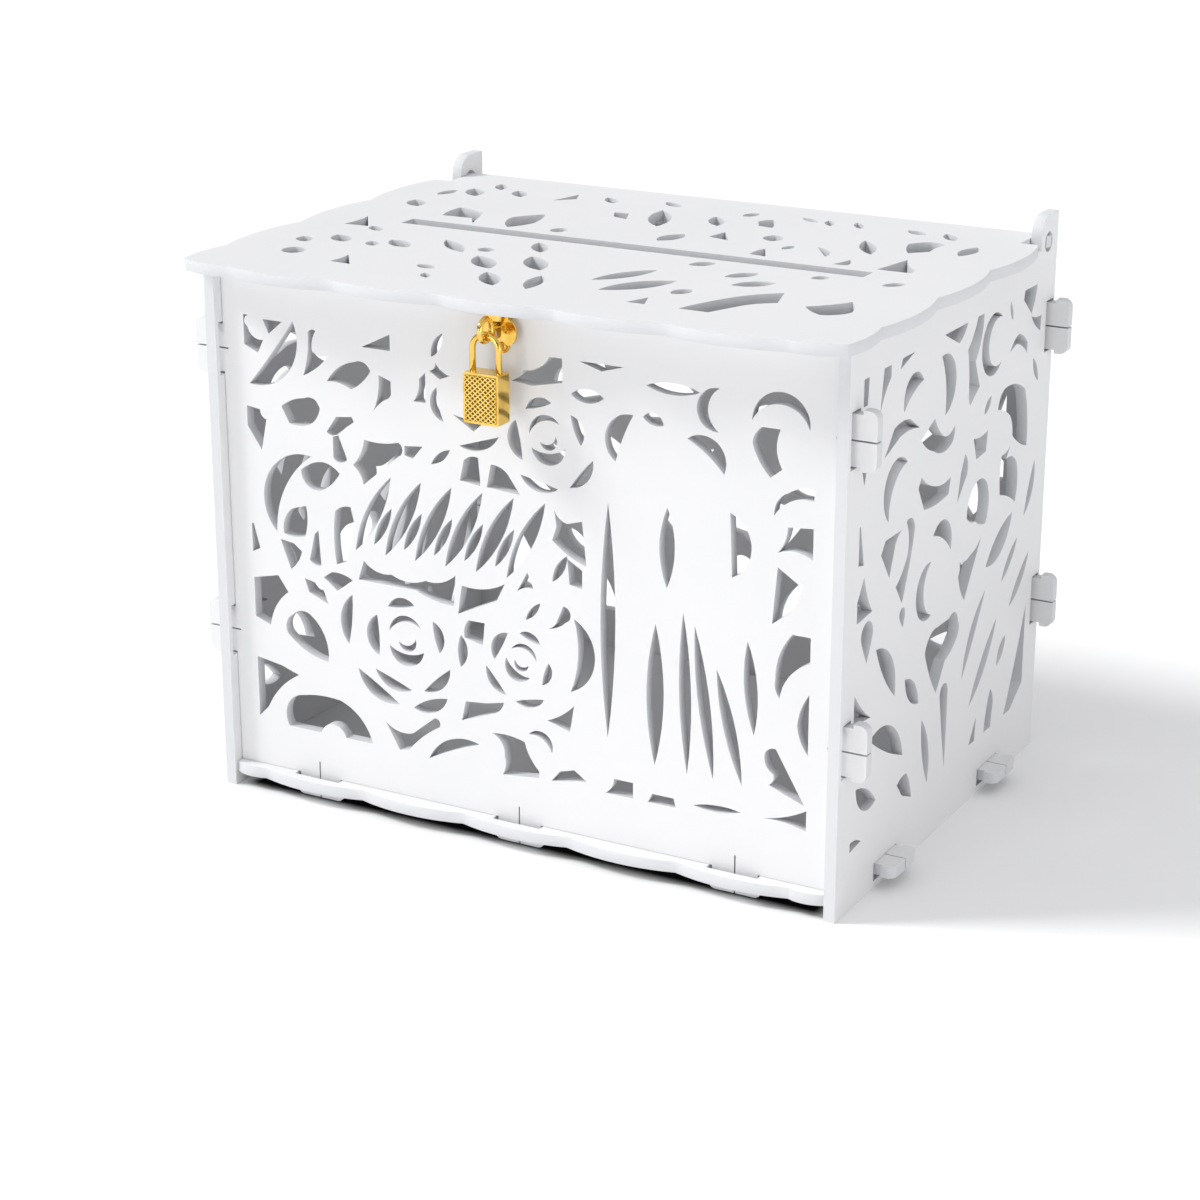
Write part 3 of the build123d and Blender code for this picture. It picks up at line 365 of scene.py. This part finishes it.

# %% [markdown]
# ## Floor and light
# White paper and light from all around give the clean look of a catalogue picture. The low gap under a box
# looks almost black in such a picture, so the paper carries painted shade: a dark area with a soft edge just
# within the box's footprint. The sky is brighter overhead and near the horizon with a darker belt between,
# so that polished gold has something dark to mirror. The key light is a sun lamp high on the left, because it
# lights the far paper as strongly as the near. Its wide angle softens the shadow to the right. A low lamp
# lifts the front and a weaker one the right side.

# %% Floor, sky and lamps
FLOOR_SIZE = 14.0
FLOOR_SHIFT = 2.5
PAINTED_SHADE_FADE = 8 * MM
# Painted shade: near-black colour given to the paper under the box, standing in for the shadow in the gap
# beneath it.
PAINTED_SHADE_UNDER_BOX = (0.006, 0.006, 0.006, 1.0)
SKY_STRENGTH = 0.66
LAMP_TARGET = (0, 0, 0.12)
LAMP_WIDTH = 0.8
SUN_SPREAD = math.radians(16)


def floor_material():
    """Matt white paper with the faintest mottling, and painted shade where the box stands over it."""
    material, tree, shader = new_material("white_paper_with_painted_shade")
    coordinates = node(tree, "TexCoord")
    fibres = node(tree, "TexNoise", Scale=3.0, Detail=2.0)
    tree.links.new(coordinates.outputs["Object"], fibres.inputs["Vector"])
    tone = ramp(tree, fibres.outputs["Fac"], [(0.3, (0.93, 0.93, 0.93)), (0.7, (0.95, 0.95, 0.95))])
    axes = node(tree, "SeparateXYZ")
    geometry = node(tree, "NewGeometry")
    tree.links.new(geometry.outputs["Position"], axes.inputs[0])
    # Mask for the painted shade: the box's footprint, faded towards its edge.
    painted_shade_mask = 1.0
    for axis in (0, 1):
        centre = (side_low[axis] + side_high[axis]) / 2 if axis else 0.0
        reach = (side_high[1] - side_low[1]) / 2 if axis else side_low[0]
        offset = math_node(tree, "ABSOLUTE", math_node(tree, "SUBTRACT", axes.outputs[axis], centre), 0.0)
        falloff = node(tree, "MapRange", {"interpolation_type": "SMOOTHSTEP"})
        falloff.inputs["From Min"].default_value = reach
        falloff.inputs["From Max"].default_value = reach - PAINTED_SHADE_FADE
        tree.links.new(offset, falloff.inputs["Value"])
        painted_shade_mask = math_node(tree, "MULTIPLY", falloff.outputs["Result"], painted_shade_mask)
    # Mixes the painted shade into the paper's colour under the box.
    painted_shade_mix = node(tree, "Mix", {"data_type": "RGBA"})
    tree.links.new(painted_shade_mask, painted_shade_mix.inputs["Factor"])
    tree.links.new(tone.outputs["Color"], painted_shade_mix.inputs["A"])
    painted_shade_mix.inputs["B"].default_value = PAINTED_SHADE_UNDER_BOX
    tree.links.new(painted_shade_mix.outputs["Result"], shader.inputs["Base Color"])
    shader.inputs["Roughness"].default_value = 0.9
    shader.inputs["Specular IOR Level"].default_value = 0.1
    return material


bpy.ops.mesh.primitive_plane_add(size=FLOOR_SIZE, location=(0, FLOOR_SHIFT, 0))
floor = bpy.context.active_object
floor.name = "paper_floor"
floor.data.materials.append(floor_material())


def sky():
    """Studio surround with a darker belt between two bright zones."""
    world = bpy.data.worlds.new("studio")
    world.use_nodes = True
    bpy.context.scene.world = world
    tree = world.node_tree
    tree.nodes.clear()
    coordinates = node(tree, "TexCoord")
    axes = node(tree, "SeparateXYZ")
    tree.links.new(coordinates.outputs["Generated"], axes.inputs[0])
    stops = [(0.0, (0.9, 0.9, 0.9)), (0.12, (1.0, 1.0, 1.0)), (0.26, (0.3, 0.29, 0.28))]
    stops += [(0.45, (0.35, 0.34, 0.33)), (0.62, (1.25, 1.26, 1.28)), (1.0, (1.35, 1.36, 1.38))]
    belt = ramp(tree, axes.outputs["Z"], stops)
    background = node(tree, "Background", Strength=SKY_STRENGTH)
    output = tree.nodes.new("ShaderNodeOutputWorld")
    tree.links.new(belt.outputs["Color"], background.inputs["Color"])
    tree.links.new(background.outputs["Background"], output.inputs["Surface"])


def lamp(name, place, power):
    """Square soft lamp pointed at the middle of the box."""
    data = bpy.data.lights.new(name, "AREA")
    data.shape = "SQUARE"
    data.size = LAMP_WIDTH
    data.energy = power
    made = bpy.data.objects.new(name, data)
    made.location = place
    made.rotation_euler = (Vector(LAMP_TARGET) - Vector(place)).to_track_quat("-Z", "Y").to_euler()
    bpy.context.collection.objects.link(made)
    return made


def sun(name, towards, strength):
    """Sun lamp that shines from a direction."""
    data = bpy.data.lights.new(name, "SUN")
    data.energy = strength
    data.angle = SUN_SPREAD
    made = bpy.data.objects.new(name, data)
    made.rotation_euler = (-Vector(towards)).to_track_quat("-Z", "Y").to_euler()
    bpy.context.collection.objects.link(made)
    return made


sky()
sun("key_sun", (-1.8, -0.9, 1.9), 2.0)
lamp("front_lamp", (-0.3, -2.4, 0.5), 9.0)
lamp("right_fill", (2.0, -0.4, 0.4), 6.0)
bpy.context.scene.view_settings.view_transform = "Standard"
print("floor and lamps in place")
